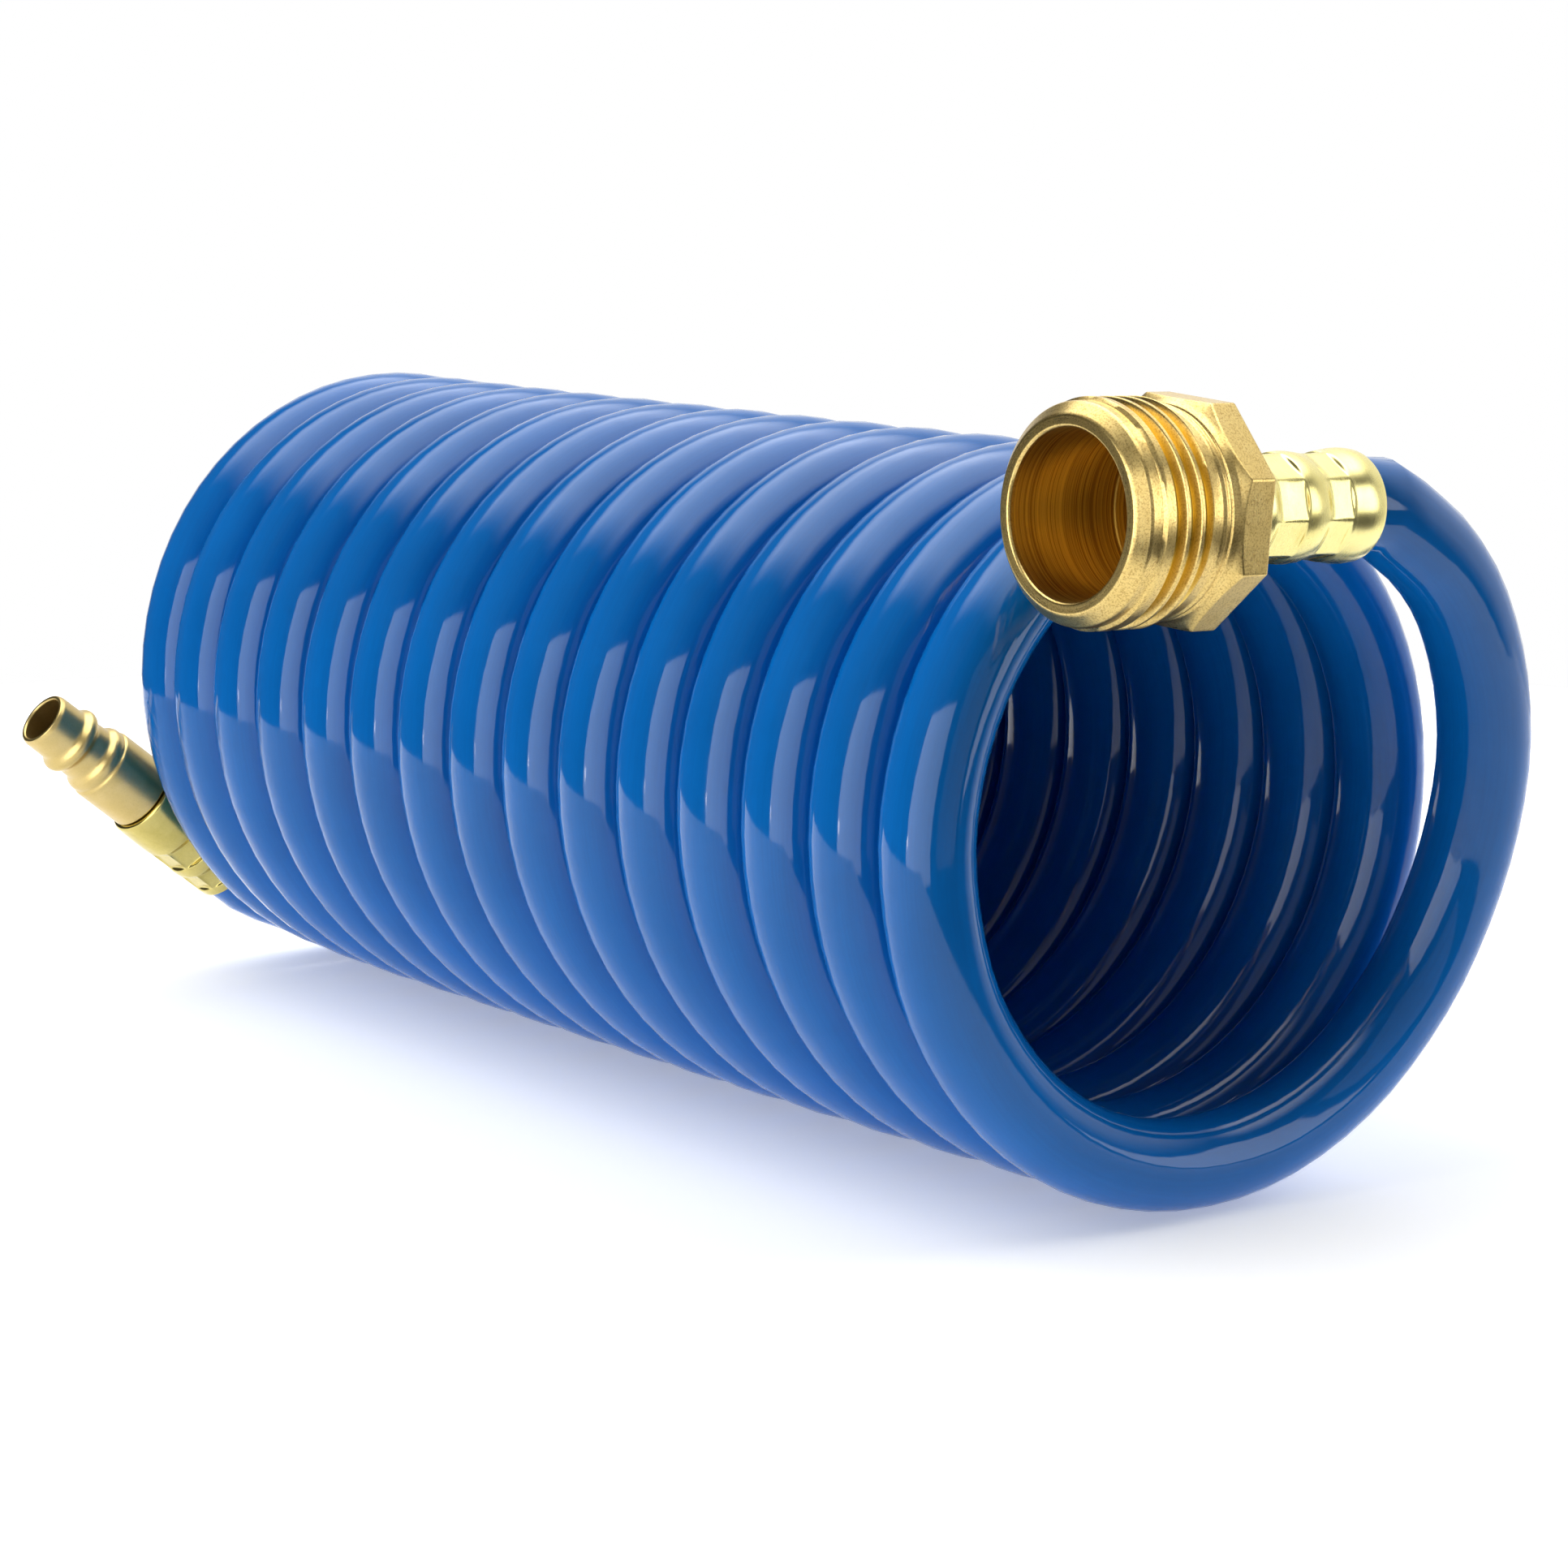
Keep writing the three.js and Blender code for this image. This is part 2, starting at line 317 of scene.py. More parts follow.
def hose_material():
    """Glossy blue with drawn streaks, slow waves and a fine grain."""
    s = Shader("hose_polyurethane")
    along = s.node("ShaderNodeAttribute", attribute_name="along").outputs["Fac"]
    round_hose = s.node("ShaderNodeAttribute", attribute_name="around").outputs["Vector"]
    split = s.node("ShaderNodeSeparateXYZ", Vector=round_hose)

    def drawn(stretch):
        """Lies round the hose in millimetres and runs slowly along it."""
        slow = s.math("MULTIPLY", along, stretch)
        return s.node("ShaderNodeCombineXYZ", X=slow, Y=split.outputs["X"], Z=split.outputs["Y"]).outputs[0]

    streaks = s.noise(drawn(12.0), 4.0, 3.0, 0.6)
    waves = s.noise(drawn(70.0), 0.55, 2.0, 0.5)
    place = s.node("ShaderNodeTexCoord").outputs["Object"]
    cloud = s.noise(place, 60.0, 3.0, 0.5)
    fine = s.noise(place, 900.0, 2.0, 0.5)
    colour = s.mix(s.ramp(cloud, 0.3, 0.7), HOSE_DEEP, HOSE_BRIGHT)
    colour = s.mix(s.ramp(streaks, 0.35, 0.75, 0.0, 0.3), colour, HOSE_STREAK)
    grained = s.bump(fine, 0.000002, 0.4)
    waved = s.bump(waves, 0.00006, 0.6, grained)
    s.set(
        Base_Color=colour,
        Roughness=s.math("ADD", s.ramp(streaks, 0.3, 0.7, 0.05, 0.08), s.ramp(fine, 0.3, 0.7, 0.0, 0.02)),
        IOR=1.5,
        Specular_IOR_Level=0.34,
        Normal=s.bump(streaks, 0.000004, 0.6, waved),
    )
    return s.material


hose_blue = hose_material()


# ---------------------------------------------------------------- hose

def sweep_group(sides):
    """Re-sweeps the hose's section along its centreline, so that it keeps its thickness in every pose."""
    tree = bpy.data.node_groups.new("hose_sweep", "GeometryNodeTree")
    tree.interface.new_socket("Geometry", in_out="INPUT", socket_type="NodeSocketGeometry")
    tree.interface.new_socket("Geometry", in_out="OUTPUT", socket_type="NodeSocketGeometry")
    nodes = Nodes(tree)
    link, node, maths, put = tree.links.new, nodes.node, nodes.math, nodes.put

    def vector_math(operation, a, b=None, scale=None):
        made = node("ShaderNodeVectorMath", operation=operation)
        put(made.inputs[0], a)
        if b is not None:
            put(made.inputs[1], b)
        if scale is not None:
            put(made.inputs["Scale"], scale)
        return made.outputs["Value"] if operation == "DOT_PRODUCT" else made.outputs["Vector"]

    def named(name):
        return node("GeometryNodeInputNamedAttribute", data_type="FLOAT", Name=name).outputs["Attribute"]

    def capture(geometry, value):
        made = node("GeometryNodeCaptureAttribute", domain="POINT")
        made.capture_items.new("VECTOR", "kept")
        link(geometry, made.inputs["Geometry"])
        link(value, made.inputs[1])
        return made.outputs["Geometry"], made.outputs[1]

    axis = (1.0, 0.0, 0.0)

    def across_hose():
        """The coil's axis, square to the hose: the way the section's long side lies."""
        tangent = node("GeometryNodeInputTangent").outputs[0]
        part = vector_math("SCALE", tangent, scale=vector_math("DOT_PRODUCT", tangent, axis))
        return vector_math("NORMALIZE", vector_math("SUBTRACT", axis, part))

    inside = node("NodeGroupInput")
    outside = node("NodeGroupOutput")
    curve = node("GeometryNodeMeshToCurve")
    link(inside.outputs[0], curve.inputs["Mesh"])

    # A turn that is pulled open keeps its length, so it narrows, down on to the floor.
    along_axis = vector_math("DOT_PRODUCT", node("GeometryNodeInputTangent").outputs[0], axis)
    across_axis = maths("SQRT", maths("SUBTRACT", 1.0, maths("MULTIPLY", along_axis, along_axis)))
    slope = maths("DIVIDE", along_axis, across_axis)
    share = maths("SUBTRACT", 1.0, maths("MULTIPLY", slope, slope))
    narrow = maths("SQRT", maths("MAXIMUM", LEAST_NARROW, share))
    narrow = maths("DIVIDE", narrow, named("rest_narrow"))
    place = node("GeometryNodeInputPosition").outputs[0]
    foot = (0.0, COIL_CENTRE.y * MM, (COIL_CENTRE.z - COIL_RADIUS) * MM)
    from_foot = vector_math("SUBTRACT", place, foot)
    across = vector_math("MULTIPLY", from_foot, (0.0, 1.0, 1.0))
    shift = vector_math("SCALE", across, scale=maths("SUBTRACT", narrow, 1.0))
    moved = node("GeometryNodeSetPosition")
    link(curve.outputs[0], moved.inputs["Geometry"])
    link(shift, moved.inputs["Offset"])

    normals = node("GeometryNodeSetCurveNormal", mode="FREE")
    link(moved.outputs[0], normals.inputs["Curve"])
    link(across_hose(), normals.inputs["Normal"])
    geometry, centre = capture(normals.outputs[0], node("GeometryNodeInputPosition").outputs[0])
    geometry, long_side = capture(geometry, across_hose())

    circle = node("GeometryNodeCurvePrimitiveCircle", mode="RADIUS")
    circle.inputs["Resolution"].default_value = sides
    circle.inputs["Radius"].default_value = HOSE_DIAMETER / 2 * MM
    tube = node("GeometryNodeCurveToMesh")
    link(geometry, tube.inputs["Curve"])
    link(circle.outputs[0], tube.inputs["Profile Curve"])
    tube.inputs["Fill Caps"].default_value = False

    out = vector_math("SUBTRACT", node("GeometryNodeInputPosition").outputs[0], centre)
    axial = vector_math("SCALE", long_side, scale=vector_math("DOT_PRODUCT", out, long_side))
    radial = vector_math("SUBTRACT", out, axial)
    wide, thin = named("wide"), named("thin")
    section = vector_math(
        "ADD",
        vector_math("SCALE", axial, scale=maths("SUBTRACT", wide, 1.0)),
        vector_math("SCALE", radial, scale=maths("SUBTRACT", thin, 1.0)),
    )
    # Kept for the material: where a point lies round the hose.
    stored = node("GeometryNodeStoreNamedAttribute", data_type="FLOAT_VECTOR", domain="POINT")
    stored.inputs["Name"].default_value = "around"
    link(tube.outputs[0], stored.inputs["Geometry"])
    coil_axis = (0.0, COIL_CENTRE.y * MM, COIL_CENTRE.z * MM)
    outward = vector_math("NORMALIZE", vector_math("SUBTRACT", centre, coil_axis))
    spot = node(
        "ShaderNodeCombineXYZ",
        X=maths("MULTIPLY", vector_math("DOT_PRODUCT", out, long_side), 1 / MM),
        Y=maths("MULTIPLY", vector_math("DOT_PRODUCT", radial, outward), 1 / MM),
    )
    link(spot.outputs[0], stored.inputs["Value"])
    shaped = node("GeometryNodeSetPosition")
    link(stored.outputs[0], shaped.inputs["Geometry"])
    link(section, shaped.inputs["Offset"])
    finish = node("GeometryNodeSetMaterial")
    finish.inputs["Material"].default_value = hose_blue
    link(shaped.outputs[0], finish.inputs["Geometry"])
    smooth = node("GeometryNodeSetShadeSmooth")
    link(finish.outputs[0], smooth.inputs["Geometry"])
    link(smooth.outputs[0], outside.inputs[0])
    return tree


def point_attribute(mesh, name, values):
    made = mesh.attributes.new(name, "FLOAT", "POINT")
    made.data.foreach_set("value", np.asarray(values, np.float32))


def make_hose():
    mesh = bpy.data.meshes.new("hose")
    mesh.from_pydata([tuple(p * MM) for p in centreline], [(i, i + 1) for i in range(len(centreline) - 1)], [])
    tangents = np.gradient(centreline, axis=0)
    tangents /= np.linalg.norm(tangents, axis=1)[:, None]
    slope = tangents[:, 0] / np.sqrt(1 - tangents[:, 0] ** 2)
    point_attribute(mesh, "rest_narrow", np.sqrt(np.maximum(LEAST_NARROW, 1 - slope**2)))
    end = np.minimum(hose_along, hose_along[-1] - hose_along)
    oval = np.array([ease((d - HOSE_INSIDE) / 45) for d in end])
    round_share = np.array([ease((d - HOSE_INSIDE + 2.5) / 5) for d in end])
    base = SQUEEZED + (1 - SQUEEZED) * round_share
    loose = np.array([1 - ease((d - LOOSE_END) / LOOSE_FADE) for d in hose_along])
    axial = OVAL_AXIAL + (LOOSE_AXIAL - OVAL_AXIAL) * loose
    radial = OVAL_RADIAL + (LOOSE_RADIAL - OVAL_RADIAL) * loose
    point_attribute(mesh, "wide", base * (1 - oval) + axial * oval)
    point_attribute(mesh, "thin", base * (1 - oval) + radial * oval)
    point_attribute(mesh, "along", hose_along * MM)
    hose = bpy.data.objects.new("hose", mesh)
    bpy.context.scene.collection.objects.link(hose)
    mesh.materials.append(hose_blue)
    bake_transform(hose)
    sweep = hose.modifiers.new("sweep", "NODES")
    sweep.node_group = sweep_group(24)
    wall = hose.modifiers.new("wall", "SOLIDIFY")
    wall.thickness = HOSE_WALL * MM
    wall.offset = -1
    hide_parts("hose_coil", "hose_near_lead", "hose_far_turn", "hose_near_end", "hose_far_end")
    return hose


hose = make_hose()

# ---------------------------------------------------------------- brass

# Noise scales, per metre
RING_SCALE, GRAIN_SCALE, CLOUD_SCALE = 5200.0, 4200.0, 240.0


def brass_material(
    name, light, dark, painted_root_reflection=None, polish=0.22, speckle=0.7, ring_scale=1.0, flats_from=None, bore=None,
    relief=0.00002,
):
    """Turned brass: rings round the local Y axis, a fine speckle, bar-stock lines on any flats, and, if asked,
    a painted reflection in the thread roots.
    """
    s = Shader(name)
    place = s.node("ShaderNodeTexCoord").outputs["Object"]
    split = s.node("ShaderNodeSeparateXYZ", Vector=place)
    x, y, z = (split.outputs[i] for i in range(3))
    radius = s.math("SQRT", s.math("ADD", s.math("MULTIPLY", x, x), s.math("MULTIPLY", z, z)))
    ring_at = s.node(
        "ShaderNodeCombineXYZ",
        X=s.math("MULTIPLY", y, RING_SCALE * ring_scale),
        Y=s.math("MULTIPLY", radius, RING_SCALE * ring_scale),
        Z=s.math("MULTIPLY", x, 60.0),
    )
    rings = s.noise(ring_at.outputs[0], 1.0, 4.0, 0.65)
    grain = s.noise(place, GRAIN_SCALE, 3.0, 0.7)
    cloud = s.noise(place, CLOUD_SCALE, 4.0, 0.6)
    height = s.math("ADD", s.math("MULTIPLY", rings, 0.7), s.math("MULTIPLY", grain, 0.5))
    if flats_from is not None:
        flat = s.ramp(radius, flats_from, flats_from + 0.00008)
        angle = s.math("ARCTAN2", x, z)
        bar_at = s.node(
            "ShaderNodeCombineXYZ", X=s.math("MULTIPLY", angle, 120.0), Y=s.math("MULTIPLY", y, 60.0)
        )
        bars = s.noise(bar_at.outputs[0], 1.0, 5.0, 0.7)
        bar_height = s.math("ADD", bars, s.math("MULTIPLY", grain, 0.3))
        turned_height = s.math("MULTIPLY", s.math("SUBTRACT", 1.0, flat), height)
        height = s.math("ADD", s.math("MULTIPLY", flat, bar_height), turned_height)
    colour = s.mix(s.ramp(cloud, 0.3, 0.7), light, dark)
    pits = s.ramp(grain, 0.38, 0.52, speckle, 0.0)
    colour = s.mix(pits, colour, (dark[0] * 0.55, dark[1] * 0.45, dark[2] * 0.35, 1))
    # Painted reflection: the thread roots get a warmer, darker tone standing in for light reflected between
    # the brass flanks.
    if painted_root_reflection is not None:
        deep, shallow, root_reflection_tone, first, last = painted_root_reflection
        inside = s.ramp(radius, deep, shallow, 1.0, 0.0)
        span = s.math("MULTIPLY", s.ramp(y, first, first + 0.0002), s.ramp(y, last - 0.0002, last, 1.0, 0.0))
        colour = s.mix(s.math("MULTIPLY", inside, span), colour, root_reflection_tone)
    rough = s.math("ADD", s.ramp(cloud, 0.3, 0.7, polish, polish + 0.06), s.ramp(rings, 0.3, 0.7, 0.0, 0.05))
    if bore is not None:
        reach, mouth = bore
        within = s.ramp(radius, reach - 0.0001, reach, 1.0, 0.0)
        deep = s.math("MULTIPLY", within, s.ramp(y, mouth - 0.0004, mouth, 1.0, 0.0))
        lines = s.ramp(rings, 0.4, 0.62)
        colour = s.mix(deep, colour, s.mix(lines, rgb(224, 190, 100), rgb(156, 116, 42)))
        rough = s.math("ADD", rough, s.math("MULTIPLY", deep, 0.06))
    s.set(
        Base_Color=colour,
        Metallic=1.0,
        Roughness=rough,
        Normal=s.bump(height, relief, 0.5),
    )
    return s.material


# A rounded corner takes at most this share of each side, and a ring beside it holds its shading
CORNER_SHARE, SUPPORT_SHARE = 0.37, 0.3


def fillet(points, steps=4):
    """A polyline of (radius, height, rounding) with its corners rounded, as (radius, height)."""
    made = []
    for i, (r, y, rounding) in enumerate(points):
        here = np.array([r, y], float)
        if rounding <= 0 or i in (0, len(points) - 1):
            made.append(here)
            continue
        before = np.array(points[i - 1][:2], float) - here
        after = np.array(points[i + 1][:2], float) - here
        reach = min(rounding, CORNER_SHARE * np.linalg.norm(before), CORNER_SHARE * np.linalg.norm(after))
        start = here + before / np.linalg.norm(before) * reach
        end = here + after / np.linalg.norm(after) * reach
        made.append(start + (start - here) * SUPPORT_SHARE)
        for t in np.linspace(0, 1, steps + 1):
            made.append((1 - t) ** 2 * start + 2 * t * (1 - t) * here + t**2 * end)
        made.append(end + (end - here) * SUPPORT_SHARE)
    return [tuple(p) for p in made]


def lay_rings(faces, first, count, sides, closed):
    for k in range(count - 1):
        for i in range(sides if closed else sides - 1):
            a, b = first + k * sides + i, first + k * sides + (i + 1) % sides
            faces.append((a, b, b + sides, a + sides))


class Turning:
    """A closed body turned about the local Y axis, in millimetres, ring by ring."""

    def __init__(self, angles):
        self.angles = np.asarray(angles, float)
        self.points, self.faces = [], []

    def rings(self, rings):
        """Each ring is (radius, height), either of them one number or one for each angle."""
        first, sides = len(self.points), len(self.angles)
        for r, y in rings:
            r, y = np.broadcast_to(r, sides), np.broadcast_to(y, sides)
            self.points += list(zip(r * np.sin(self.angles), y, r * np.cos(self.angles)))
        lay_rings(self.faces, first, len(rings), sides, True)

    def grid(self, angles, rows):
        """Rows that needn't close on themselves, such as those of a thread."""
        first = len(self.points)
        for r, y in rows:
            self.points += list(zip(r * np.sin(angles), y, r * np.cos(angles)))
        lay_rings(self.faces, first, len(rows), len(angles), False)

    def build(self, name, mouth, tilt, material, body, sharp=32):
        mesh = bpy.data.meshes.new(name)
        mesh.from_pydata([tuple(float(c) * MM for c in p) for p in self.points], [], self.faces)
        work = bmesh.new()
        work.from_mesh(mesh)
        bmesh.ops.remove_doubles(work, verts=work.verts, dist=2e-7)
        bmesh.ops.dissolve_degenerate(work, edges=work.edges, dist=2e-7)
        bmesh.ops.recalc_face_normals(work, faces=work.faces)
        for face in work.faces:
            face.smooth = True
        for edge in work.edges:
            if len(edge.link_faces) == 2 and edge.calc_face_angle(0) > math.radians(sharp):
                edge.smooth = False
        work.to_mesh(mesh)
        work.free()
        thing = bpy.data.objects.new(name, mesh)
        bpy.context.scene.collection.objects.link(thing)
        axis = -mouth_axis(tilt)
        side = Vector((1, 0, 0))
        up = side.cross(axis)
        turn = Matrix((side, axis, up)).transposed().to_4x4()
        thing.matrix_world = Matrix.Translation(mouth * MM) @ turn
        mesh.materials.append(material)
        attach(thing, body)
        return thing


def even_angles(sides):
    return np.arange(sides) / sides * 2 * math.pi


NEAR_LENGTH = 21.0
FAR_LENGTH = 20.2
NECK_RADIUS = 4.9
STEM_BORE = 2.6
STEM_ROOT = 3.4
STEM_BARB = 3.65


def stem_profile(length):
    points = [(STEM_BORE, 1.0, 0), (STEM_ROOT - 0.2, 1.0, 0), (STEM_ROOT, 1.4, 0.2)]
    for i in range(5):
        start = 2.2 + i * 3.4
        points += [(STEM_ROOT, start, 0), (STEM_BARB, start + 2.5, 0.1), (STEM_ROOT, start + 2.9, 0)]
    end = length - 1.0
    return points + [(STEM_ROOT, end, 0), (NECK_RADIUS, end, 0), (NECK_RADIUS, length + 0.2, 0)]


# ---------------------------------------------------------------- threaded fitting

# Radii and heights above the ferrule's mouth, in millimetres
CREST, ROOT, RELIEF, LAND, NOSE = 13.4, 12.05, 12.4, 12.95, 11.6
THREAD_PITCH = 2.21
THREAD_FROM, THREAD_TO = 34.3, 42.7
THREAD_RUN_IN, THREAD_RUN_OUT, GROOVE_FADE = 1.1, 0.35, 0.3
GROOVE_AT = 37.38
GROOVE_ENDS = 1.95
COLLAR_BACK, COLLAR_FLAT = 26.0, 13.25
COLLAR_TURN = math.radians(3.5)
CONE_AT_FLAT, CONE_SLOPE = 30.45, 0.62
THREAD_SHAPE = [
    (0, 0), (0.17, 0), (0.22, 0.05), (0.26, 0.18), (0.35, 0.82), (0.385, 0.95), (0.42, 1),
    (0.5, 1), (0.58, 1), (0.615, 0.95), (0.65, 0.82), (0.74, 0.18), (0.78, 0.05), (0.83, 0),
]


def thread_rows(angles):
    rows = []
    first = math.floor((THREAD_FROM - GROOVE_AT) / THREAD_PITCH) - 1
    last = math.ceil((THREAD_TO - GROOVE_AT) / THREAD_PITCH)
    turn = angles / (2 * math.pi)
    for groove in range(first, last + 1):
        for phase, height in THREAD_SHAPE:
            y = GROOVE_AT + THREAD_PITCH * (groove + phase + turn)
            nearest = groove + (1 if phase > 0.5 else 0)
            cut = 1 - np.array([ease((h - GROOVE_ENDS + GROOVE_FADE) / GROOVE_FADE) for h in nearest + turn])
            r = CREST - (CREST - ROOT) * (1 - height) * cut
            start = np.array([ease((h - THREAD_FROM) / THREAD_RUN_IN) for h in y])
            end = np.array([ease((THREAD_TO - h) / THREAD_RUN_OUT) for h in y])
            r = RELIEF + (r - RELIEF) * start
            r = LAND + (r - LAND) * end
            y_in = np.clip(y, THREAD_FROM, THREAD_TO)
            r = np.where(y <= THREAD_FROM, RELIEF, np.where(y >= THREAD_TO, LAND, r))
            rows.append((r, y_in))
    return rows


def fitting_angles():
    angles = list(even_angles(120))
    for corner in range(8):
        middle = math.radians(22.5 + 45 * corner) - COLLAR_TURN
        angles += [middle + math.radians(d) for d in (-1.1, -0.55, 0, 0.55, 1.1)]
    return np.array(sorted(set(round(a, 6) for a in angles)))


def octagon(angles, flat, rounding):
    """Radius of an eight-sided outline with slightly rounded corners."""
    off = np.abs((angles + math.pi / 8) % (math.pi / 4) - math.pi / 8)
    near, far = flat / np.cos(off), flat / np.cos(math.pi / 4 - off)
    blend = np.clip(0.5 + 0.5 * (far - near) / rounding, 0, 1)
    return near * blend + far * (1 - blend) - rounding * blend * (1 - blend)


def make_thread_fitting():
    angles = fitting_angles()
    body = Turning(angles)
    outline = octagon(angles + COLLAR_TURN, COLLAR_FLAT, 0.12)
    inner = octagon(angles + COLLAR_TURN, COLLAR_FLAT - 0.25, 0.12)
    flat_end = CONE_AT_FLAT - (outline - COLLAR_FLAT) * CONE_SLOPE
    rings = fillet(
        stem_profile(NEAR_LENGTH)
        + [(6.6, NEAR_LENGTH + 0.2, 0.3), (6.6, COLLAR_BACK, 0.6), (9.0, COLLAR_BACK, 0)]
    )
    rings += [(inner, COLLAR_BACK), (outline - 0.08, COLLAR_BACK + 0.07), (outline, COLLAR_BACK + 0.25)]
    rings += [(outline, COLLAR_BACK + 0.35), (outline, flat_end - 0.2), (outline, flat_end - 0.1)]
    rings += [(outline - 0.04, flat_end + 0.03), (outline - 0.11, flat_end + 0.13)]
    rings += fillet(
        [
            (13.1, CONE_AT_FLAT + 0.2, 0),
            (12.85, CONE_AT_FLAT + 0.55, 0.1),
            (12.6, 31.45, 0.12),
            (12.3, 31.6, 0.15),
            (12.3, 32.1, 0.12),
            (12.65, 32.35, 0.08),
            (12.65, 32.6, 0.08),
            (RELIEF, 32.9, 0.2),
            (RELIEF, THREAD_FROM, 0),
        ]
    )
    body.rings(rings)
    full_turn = np.append(angles, angles[0] + 2 * math.pi)
    body.grid(full_turn, thread_rows(full_turn))
    nose = fillet(
        [
            (LAND, THREAD_TO, 0),
            (LAND, 44.2, 0.25),
            (NOSE, 45.5, 0.2),
            (NOSE - 0.3, 45.7, 0.2),
            (10.2, 45.7, 0.2),
            (9.95, 45.4, 0.2),
            (9.95, 29.4, 0.1),
            (9.7, 29.1, 0.1),
            (9.7, 27.2, 0.5),
            (STEM_BORE, 25.6, 0.3),
            (STEM_BORE, 1.0, 0),
        ]
    )
    body.rings(nose)
    material = brass_material(
        "brass_turned",
        (0.79, 0.60, 0.235, 1),
        (0.70, 0.51, 0.175, 1),
        # Thread roots: painted reflection of the brass flanks, as a warmer orange tone.
        painted_root_reflection=(0.0121, 0.0130, (0.72, 0.49, 0.09, 1), 0.0345, 0.0425),
        polish=0.24,
        flats_from=0.01322,
        bore=(0.01015, 0.0452),
    )
    thing = body.build("threaded_fitting", NEAR_MOUTH, NEAR_TILT, material, "threaded_end")
    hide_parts("thread_fitting")
    return thing


# ---------------------------------------------------------------- ferrules

SLEEVE_RADIUS, SLEEVE_WALL = 6.52, 0.45
JAWS = 8
JAW_DEPTHS = [0.0, 0.05, -0.03, 0.06, 0.02, -0.02, 0.07, 0.0]


def crimped(angles, y, base, bands, phase, apothem):
    """Outer radius of a sleeve at height y, pressed flat by a ring of jaws in each band."""
    pitch = 2 * math.pi / JAWS
    r = np.full(len(angles), base)
    for number, (start, end) in enumerate(bands):
        share = ease((y - start) / 0.35) * ease((end - y) / 1.4)
        if share == 0:
            continue
        place = (angles - phase) / pitch
        jaw = np.floor(place).astype(int)
        off = (place - jaw - 0.5) * pitch
        depth = np.array([JAW_DEPTHS[(j * 5 + number * 3) % JAWS] for j in jaw])
        pressed = (apothem - depth - 0.2 * (y - start) / (end - start)) / np.cos(off)
        edge = np.clip((0.5 - np.abs(place - jaw - 0.5)) / 0.05, 0, 1)
        edge = edge * edge * (3 - 2 * edge)
        r = r + (np.minimum(r, pressed) - r) * share * edge
    return r


def make_ferrule(
    name, node, mouth, tilt, body, length, start_at, bands, humps, phase, apothem, front_radius, tones, polish
):
    angles = np.round(even_angles(168), 6)
    made = Turning(angles)
    heights = list(start_at + np.array([0.3, 0.55, 0.85, 1.2, 1.6]))
    for start, end in bands:
        heights += list(np.linspace(start, start + 0.35, 5)) + list(np.linspace(start + 0.8, end - 1.6, 4))
        heights += list(np.linspace(end - 1.4, end, 7))
    heights += list(np.arange(start_at + 2.0, length - 1.2, 0.7))
    heights = sorted(set(round(h, 3) for h in heights if start_at + 0.25 < h < length - 1.0))

    def base(y):
        swell = sum(size * math.exp(-(((y - at) / width) ** 2)) for at, width, size in humps)
        return SLEEVE_RADIUS + swell

    lip = base(start_at)
    rings = [(6.15, start_at + 0.7), (6.2, start_at + 0.2), (6.35, start_at + 0.02), (lip - 0.14, start_at)]
    rings += [(lip - 0.04, start_at + 0.06), (lip, start_at + 0.18)]
    rings += [(crimped(angles, h, base(h), bands, phase, apothem), h) for h in heights]
    end = length
    rings += [(front_radius + 0.14, end - 0.85), (front_radius + 0.13, end - 0.5)]
    rings += [(front_radius + 0.05, end - 0.25), (front_radius - 0.15, end - 0.07), (front_radius - 0.42, end)]
    rings += [(NECK_RADIUS + 0.15, end), (NECK_RADIUS + 0.15, end - 0.6), (5.6, end - 0.7)]
    inside = [h for h in reversed(heights) if start_at + 0.8 < h < end - 1.2]
    rings += [(crimped(angles, h, base(h), bands, phase, apothem) - SLEEVE_WALL, h) for h in inside[::2]]
    rings += [rings[0]]
    made.rings(rings)
    material = brass_material(
        name + "_brass", *tones, polish=polish, speckle=0.1, ring_scale=0.4, relief=0.000008
    )
    thing = made.build(name, mouth, tilt, material, body, sharp=40)
    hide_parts(node)
    return thing


# ---------------------------------------------------------------- plug

def make_plug():
    made = Turning(even_angles(96))
    outline = stem_profile(FAR_LENGTH) + [
        (5.65, FAR_LENGTH + 0.2, 0.05),
        (5.85, FAR_LENGTH + 0.4, 0.15),
        (5.85, 29.25, 0.3),
        (5.5, 29.7, 0.3),
        (5.62, 30.25, 0.3),
        (5.6, 30.8, 0.3),
        (5.4, 31.3, 0.35),
        (4.7, 32.1, 0.5),
        (4.6, 34.4, 0.5),
        (5.35, 35.35, 0.35),
        (5.5, 35.95, 0.35),
        (5.35, 36.5, 0.35),
        (4.55, 37.4, 0.5),
        (4.5, 41.4, 0.3),
        (4.25, 42.0, 0.2),
        (4.1, 42.1, 0.1),
        (3.75, 42.1, 0.15),
        (3.6, 41.85, 0.15),
        (3.6, 24.0, 0.2),
        (STEM_BORE, 23.0, 0.2),
        (STEM_BORE, 1.0, 0),
    ]
    made.rings(fillet(outline, 5))
    material = brass_material(
        "plug_brass", (0.64, 0.49, 0.21, 1), (0.57, 0.43, 0.155, 1), polish=0.28, speckle=0.12, ring_scale=0.6,
        relief=0.000004,
    )
    thing = made.build("plug", FAR_MOUTH, FAR_TILT, material, "coil", sharp=40)
    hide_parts("quick_plug")
    return thing


